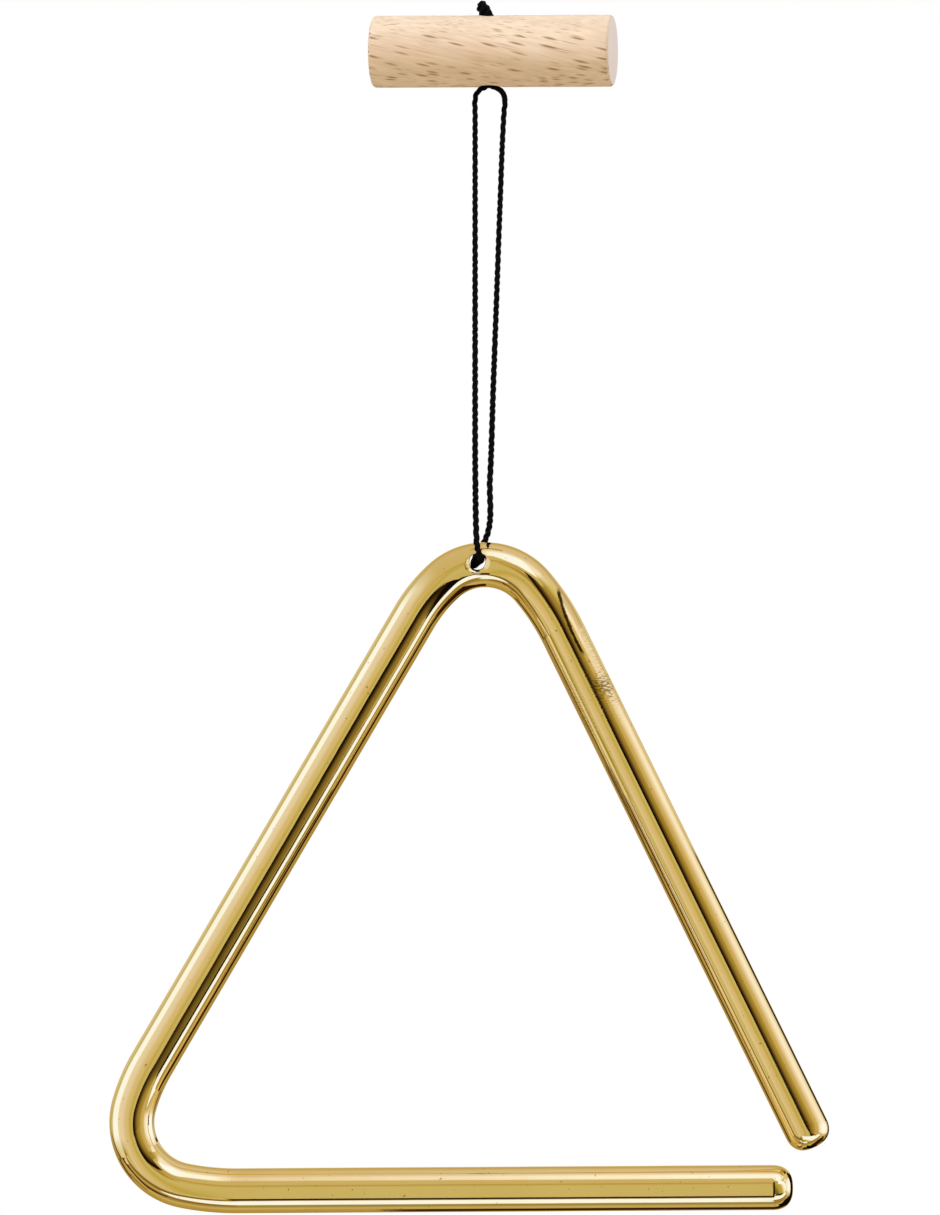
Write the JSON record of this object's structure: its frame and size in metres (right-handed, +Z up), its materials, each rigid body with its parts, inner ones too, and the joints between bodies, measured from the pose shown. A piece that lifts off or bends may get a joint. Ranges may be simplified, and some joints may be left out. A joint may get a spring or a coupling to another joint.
{
  "type": "triangle instrument",
  "caption": "Open triangle of bent brass rod that hangs by a loop of black cord from a short wooden dowel handle, and rings when it is struck.",
  "frame": {"origin": "where the handle's cross bore meets the handle's axis", "axes": "+Z up, along the cord, +X to the right and +Y away from the viewer. The triangle hangs in the XZ plane with its open corner at the lower right, and the handle is turned 9 degrees about Z, its right end towards the viewer"},
  "size_m": [0.16, 0.0239, 0.2691],
  "materials": {
    "brass": "polished",
    "wood": "sanded",
    "cord": "twisted cord"
  },
  "bodies": {
    "handle_body": {"wood_handle": "wood"},
    "cord_top_body": {"cord_knot": "cord", "cord_in_handle": "cord", "cord_arch": "cord"},
    "cord_loop_body": {"cord_loop": "cord"},
    "triangle_body": {"triangle_rod": "brass"}
  },
  "joints": [
    {"name": "cord_swivel", "type": "hinge", "parent": "handle_body", "child": "cord_top_body", "pos_m": [0, 0, 0], "axis": [0, 0, 1], "continuous": true},
    {"name": "cord_swing", "type": "hinge", "parent": "cord_top_body", "child": "cord_loop_body", "pos_m": [0, 0, -0.0098], "axis": [1, 0, 0], "range_deg": [-85, 85], "deforming": ["cord_arch"]},
    {"name": "triangle_turn", "type": "hinge", "parent": "cord_loop_body", "child": "triangle_body", "pos_m": [-0.0028, 0, -0.1134], "axis": [0, 1, 0], "range_deg": [-105, 105]}
  ]
}
